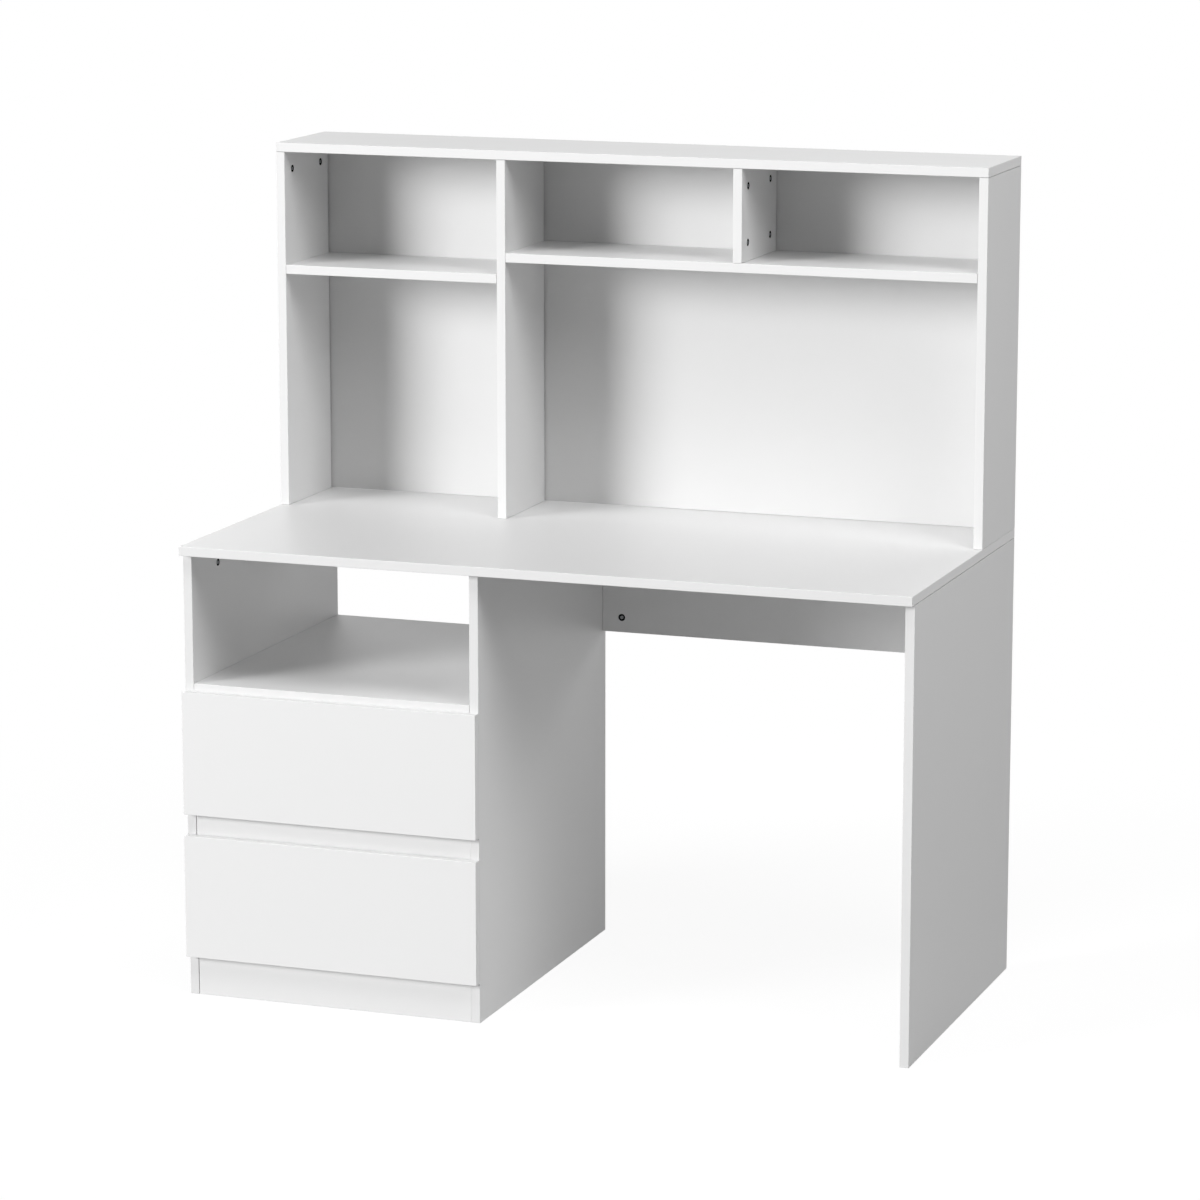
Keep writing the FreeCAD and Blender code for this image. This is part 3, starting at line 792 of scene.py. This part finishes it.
class DESK_OT_cam_locks(bpy.types.Operator):
    """Set a round cam lock with a cross recess in each of the boards' cam bores"""

    bl_idname = "desk.cam_locks"
    bl_label = "Cam locks"

    def execute(self, context):
        sizes = context.scene.desk_fittings
        # Lit and shaded copies of the zinc: pale bosses, and near-black drums whose dark is painted shade in
        # the ring round each boss.
        bright = die_cast_zinc(sizes)
        dark = zinc_painted_with_shade(sizes)
        bosses = boss_tree()
        drums = drum_tree()
        mouths = mouth_tree()
        face = bpy.data.materials["white melamine on particle board"]
        for node in nodes_in("cam_zinc"):
            places = cam_places(node)
            low, high = limits(solids_of(node)[0])
            depth, diameter = sorted(high - low)[:2]
            given = {"Boss": sizes.cam_boss, "Top": -sizes.boss_sink,
                     "Depth": sizes.cam_groove * BOSS_LENGTH, **cross_sizes(sizes)}
            mesh = placed_mesh(node + "_bosses", bosses, given, bright, places)
            add_piece(node + "_bosses", mesh, body_of[node], "cam_zinc", node)
            # The drums take the near-black zinc, painted shade for the ring round the boss.
            given = {"Diameter": diameter, "Top": -sizes.drum_sink, "Depth": depth - sizes.drum_sink,
                     "Wall": sizes.cam_wall, "Groove": sizes.cam_groove}
            mesh = placed_mesh(node + "_drums", drums, given, dark, places)
            add_piece(node + "_drums", mesh, body_of[node], "cam_zinc")
            given = {"Bore": diameter + sizes.bore_play, "Rim": sizes.bore_rim, "Top": sizes.rim_stand,
                     "Depth": sizes.cam_groove}
            mesh = placed_mesh(node + "_mouths", mouths, given, face, places)
            add_piece(node + "_mouths", mesh, body_of[node], "white_board")
        return {"FINISHED"}


class DESK_OT_fixings(bpy.types.Operator):
    """Finish the hidden bolts and dowels, and turn the sunk screws round"""

    bl_idname = "desk.fixings"
    bl_label = "Bolts, dowels and screws"

    def execute(self, context):
        sizes = context.scene.desk_fittings
        steel = plated_steel(sizes)
        beech = plain_beech(sizes)
        tree = screw_tree()
        for node in nodes_in("dowel_beech"):
            frame["nodes"][node].data.materials[0] = beech
        for node in nodes_in("fixing_steel"):
            if not node.endswith("_screws"):
                frame["nodes"][node].data.materials[0] = steel
                continue
            low, high = limits(solids_of(node)[0])
            _, head, length = sorted(high - low)
            given = {**screw_sizes(head, length), **cross_sizes(sizes)}
            mesh = placed_mesh(node, tree, given, steel, screw_places(node))
            add_piece(node + "_round", mesh, body_of[node], "fixing_steel", node)
        return {"FINISHED"}


class DESK_OT_runners(bpy.types.Operator):
    """Round the bends of the steel runners, cut their slots, coat them and screw them on"""

    bl_idname = "desk.runners"
    bl_label = "Runners"

    def execute(self, context):
        sizes = context.scene.desk_runners
        coat = epoxy_coated_steel(sizes)
        steel = bpy.data.materials["zinc plated steel"]
        slots = slot_tree()
        screws = screw_tree()
        screw = {**screw_sizes(sizes.screw_head, sizes.screw_length),
                 **cross_sizes(context.scene.desk_fittings)}
        for node in nodes_in("runner_steel"):
            shape = merged_copy(node)
            sharp = [edge for edge in shape.edges if edge.calc_face_angle(0) > SHARP_BEND]
            bmesh.ops.bevel(shape, geom=sharp, offset=sizes.bend_radius, segments=2, profile=0.5,
                            affect="EDGES", clamp_overlap=True)
            low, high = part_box(node)
            inward = 1 if "left" in node else -1
            on_cabinet = "cabinet" in node
            wall_side = low.x if inward > 0 else high.x
            inner_side = high.x if inward > 0 else low.x
            middle = (low.z + high.z) / 2
            if on_cabinet:
                web = wall_side
                screw_x = wall_side + inward * (sizes.sheet + sizes.screw_proud)
                places = [(Vector((screw_x, low.y + along, middle)), Vector((inward, 0, 0)))
                          for along in SCREWS_ALONG]
            else:
                web = drawer_web(node, inward)
                places = [(Vector((inner_side - inward * sizes.flange_middle, low.y + along,
                                   low.z - sizes.screw_proud)), Vector((0, 0, -1)))
                          for along in SCREWS_ALONG]
            given = {"Slot length": sizes.slot_length, "Slot width": sizes.slot_width,
                     "Pitch": sizes.slot_pitch, "Cut": SLOT_CUT * sizes.sheet,
                     "Start": (web, low.y + sizes.first_slot, middle)}
            mesh = tree_mesh(node, slots, given, coat, finished_mesh(shape, node, [coat]))
            add_piece(node + "_coated", mesh, body_of[node], "runner_steel", node)
            mesh = placed_mesh(node + "_screws", screws, screw, steel, places)
            add_piece(node + "_screws", mesh, body_of[node], "fixing_steel")
        return {"FINISHED"}


def turned_ring(centre, profile):
    """A closed ring turned about an axis along X, from a profile of (along, radius) points."""
    shape = bmesh.new()
    rows = []
    for step in range(ROLLER_SIDES):
        angle = 2 * math.pi * step / ROLLER_SIDES
        spoke = Vector((0, math.cos(angle), math.sin(angle)))
        rows.append([shape.verts.new(centre + Vector((along, 0, 0)) + spoke * radius)
                     for along, radius in profile])
    count = len(profile)
    for first, second in zip(rows, rows[1:] + rows[:1]):
        for place in range(count):
            after = (place + 1) % count
            shape.faces.new((first[place], first[after], second[after], second[place]))
    bmesh.ops.recalc_face_normals(shape, faces=shape.faces)
    return shape


class DESK_OT_rollers(bpy.types.Operator):
    """Mould the nylon rollers, with a dish round the hub and rounded rims"""

    bl_idname = "desk.rollers"
    bl_label = "Rollers"

    def execute(self, context):
        sizes = context.scene.desk_runners
        nylon = natural_nylon(sizes)
        for node in nodes_in("roller_nylon"):
            low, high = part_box(node)
            centre = (low + high) / 2
            half = (high.x - low.x) / 2
            rim = (high.z - low.z) / 2
            bore = min(math.hypot(corner.co.y - centre.y, corner.co.z - centre.z)
                       for corner in frame["nodes"][node].data.vertices)
            edge = sizes.roller_edge
            dish = half - sizes.roller_dish
            hub = sizes.roller_hub / 2
            one_side = [
                (half, bore), (half, hub), (dish, hub + sizes.roller_dish),
                (dish, rim - 2 * edge - sizes.roller_dish), (half, rim - 2 * edge),
                (half, rim - edge), (half - edge * ROUND_MIDDLE, rim - edge * ROUND_MIDDLE),
                (half - edge, rim),
            ]
            profile = one_side + [(-along, radius) for along, radius in reversed(one_side)]
            mesh = finished_mesh(turned_ring(centre, profile), node, [nylon])
            mesh.shade_smooth()
            mesh.set_sharp_from_angle(angle=SMOOTH_ANGLE)
            add_piece(node + "_moulded", mesh, body_of[node], "roller_nylon", node)
        return {"FINISHED"}


class DESK_OT_back_pins(bpy.types.Operator):
    """Pin the pedestal's thin back to the edges of the shelf and the bottom board"""

    bl_idname = "desk.back_pins"
    bl_label = "Back pins"

    def execute(self, context):
        sizes = context.scene.desk_fittings
        low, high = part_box(PINNED_SHEET)
        head = sizes.pin_head
        rows = []
        for board in ("pedestal_shelf", "pedestal_bottom"):
            board_low, board_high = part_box(board)
            rows.append((max(board_low.z, low.z) + min(board_high.z, high.z)) / 2)
        spread = (high.x - low.x) / PINS_ALONG
        places = [(Vector((low.x + (place + 0.5) * spread, high.y, row)), Vector((0, 1, 0)))
                  for row in rows for place in range(PINS_ALONG)]
        given = {"Head": head, "Head depth": head * PIN_RISE, "Shank": head * PIN_SHANK,
                 "Length": head * PIN_LENGTH}
        steel = bpy.data.materials["zinc plated steel"]
        name = PINNED_SHEET + "_pins"
        mesh = placed_mesh(name, pin_tree(), given, steel, places)
        add_piece(name, mesh, body_of[PINNED_SHEET], "fixing_steel")
        return {"FINISHED"}


def soft_box(name, turn, rise, distance, diameter, power):
    """A round lamp that looks at the desk from the given side."""
    data = bpy.data.lights.new(name, "AREA")
    data.shape = "DISK"
    data.size = diameter
    data.energy = power
    lamp = bpy.data.objects.new(name, data)
    bpy.context.scene.collection.objects.link(lamp)
    side, height = math.radians(turn), math.radians(rise)
    out = Vector((math.sin(side) * math.cos(height), -math.cos(side) * math.cos(height), math.sin(height)))
    lamp.location = LAMP_AIM + out * distance
    lamp.rotation_mode = "QUATERNION"
    lamp.rotation_quaternion = out.to_track_quat("Z", "Y")
    lamp.visible_camera = False
    lamp.visible_glossy = name not in DULL_LAMPS


def seen_directly(tree):
    """A factor that is 1 for camera, glossy and transmission rays."""
    path = add_node(tree, "ShaderNodeLightPath")
    seen = path.outputs["Is Camera Ray"]
    for ray in ("Is Glossy Ray", "Is Transmission Ray"):
        seen = add_node(tree, "ShaderNodeMath", {0: seen, 1: path.outputs[ray]}, operation="MAXIMUM")
        seen = seen.outputs["Value"]
    return seen


def white_room(sizes):
    """A world that shows white and lights the desk with a little even light."""
    world = bpy.data.worlds.new("white room")
    world.use_nodes = True
    tree = world.node_tree
    tree.nodes.clear()
    even = add_node(tree, "ShaderNodeBackground", {"Strength": sizes.ambient, "Color": (1, 1, 1, 1)})
    white = add_node(tree, "ShaderNodeBackground", {"Strength": 1.0, "Color": (1, 1, 1, 1)})
    mixed = add_node(tree, "ShaderNodeMixShader", {
        0: seen_directly(tree), 1: even.outputs[0], 2: white.outputs[0]})
    add_node(tree, "ShaderNodeOutputWorld", {"Surface": mixed.outputs[0]})
    return world


def studio_paper(sizes):
    """Pale paper that shows white with the desk's soft shadow, and throws back a plain grey.

    The shadow fades out with distance, so that the paper has no visible end.
    """
    material = bpy.data.materials.new("studio paper")
    material.use_nodes = True
    tree = material.node_tree
    tree.nodes.clear()
    grey = (*sizes.floor_colour, 1)
    plain = add_node(tree, "ShaderNodeBsdfDiffuse", {"Color": grey})
    part = (*[channel * sizes.shadow_share for channel in sizes.floor_colour], 1)
    shaded = add_node(tree, "ShaderNodeBsdfDiffuse", {"Color": part})
    glow = add_node(tree, "ShaderNodeEmission", {"Strength": 1 - sizes.shadow_share * sizes.paper_light})
    near = add_node(tree, "ShaderNodeAddShader", {0: shaded.outputs[0], 1: glow.outputs[0]})
    far = add_node(tree, "ShaderNodeEmission", {"Strength": 1.0})
    place = add_node(tree, "ShaderNodeTexCoord").outputs["Object"]
    reach = add_node(tree, "ShaderNodeVectorMath", {0: place}, operation="LENGTH")
    fade = add_node(tree, "ShaderNodeMapRange", {
        "Value": reach.outputs["Value"], "From Min": sizes.fade_start, "From Max": sizes.fade_end},
        interpolation_type="SMOOTHSTEP")
    shown = add_node(tree, "ShaderNodeMixShader", {
        0: fade.outputs["Result"], 1: near.outputs[0], 2: far.outputs[0]})
    mixed = add_node(tree, "ShaderNodeMixShader", {
        0: seen_directly(tree), 1: plain.outputs[0], 2: shown.outputs[0]})
    add_node(tree, "ShaderNodeOutputMaterial", {"Surface": mixed.outputs[0]})
    return material


class DESK_OT_stage(bpy.types.Operator):
    """Lay the floor, hang the lamps and set up the camera"""

    bl_idname = "desk.stage"
    bl_label = "Stage"

    def execute(self, context):
        scene = context.scene
        sizes = scene.desk_stage
        scene.view_settings.view_transform = "Standard"
        scene.world = white_room(sizes)

        half = sizes.floor_size / 2
        mesh = bpy.data.meshes.new("floor")
        corners = [(-half, -half, 0), (half, -half, 0), (half, half, 0), (-half, half, 0)]
        mesh.from_pydata(corners, [], [(0, 1, 2, 3)])
        mesh.materials.append(studio_paper(sizes))
        floor = bpy.data.objects.new("floor", mesh)
        scene.collection.objects.link(floor)

        for name, (turn, rise, distance, diameter, power) in LAMPS.items():
            soft_box(name, turn, rise, distance, diameter, power)

        data = bpy.data.cameras.new("camera")
        data.lens = sizes.lens
        data.sensor_width = SENSOR_WIDTH
        camera = bpy.data.objects.new("camera", data)
        scene.collection.objects.link(camera)
        camera.location = sizes.camera_place
        camera.rotation_euler = (math.pi / 2 - sizes.camera_dip, 0, sizes.camera_turn)
        scene.camera = camera
        return {"FINISHED"}


class DESK_PT_sidebar(bpy.types.Panel):
    """The desk's sizes, colours and steps"""

    bl_label = "White computer desk"
    bl_space_type = "VIEW_3D"
    bl_region_type = "UI"
    bl_category = "Desk"

    def draw(self, context):
        for name in SETTINGS:
            box = self.layout.box()
            group = getattr(context.scene, name)
            for prop in group.bl_rna.properties:
                if prop.identifier not in ("name", "rna_type"):
                    box.prop(group, prop.identifier)
        for operator in OPERATORS:
            self.layout.operator(operator.bl_idname)


SETTINGS = {
    "desk_boards": BoardSettings,
    "desk_fittings": FittingSettings,
    "desk_runners": RunnerSettings,
    "desk_stage": StageSettings,
}
OPERATORS = (
    DESK_OT_boards, DESK_OT_sheets, DESK_OT_cam_locks, DESK_OT_fixings, DESK_OT_runners,
    DESK_OT_rollers, DESK_OT_back_pins, DESK_OT_stage,
)


def register():
    for item in (*SETTINGS.values(), *OPERATORS, DESK_PT_sidebar):
        bpy.utils.register_class(item)
    for name, group in SETTINGS.items():
        setattr(bpy.types.Scene, name, PointerProperty(type=group))


def unregister():
    for name in SETTINGS:
        delattr(bpy.types.Scene, name)
    for item in (DESK_PT_sidebar, *reversed(OPERATORS), *reversed(SETTINGS.values())):
        bpy.utils.unregister_class(item)


def main():
    """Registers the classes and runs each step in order."""
    register()
    for operator in OPERATORS:
        group, step = operator.bl_idname.split(".")
        getattr(getattr(bpy.ops, group), step)()


if __name__ == "__main__":
    main()
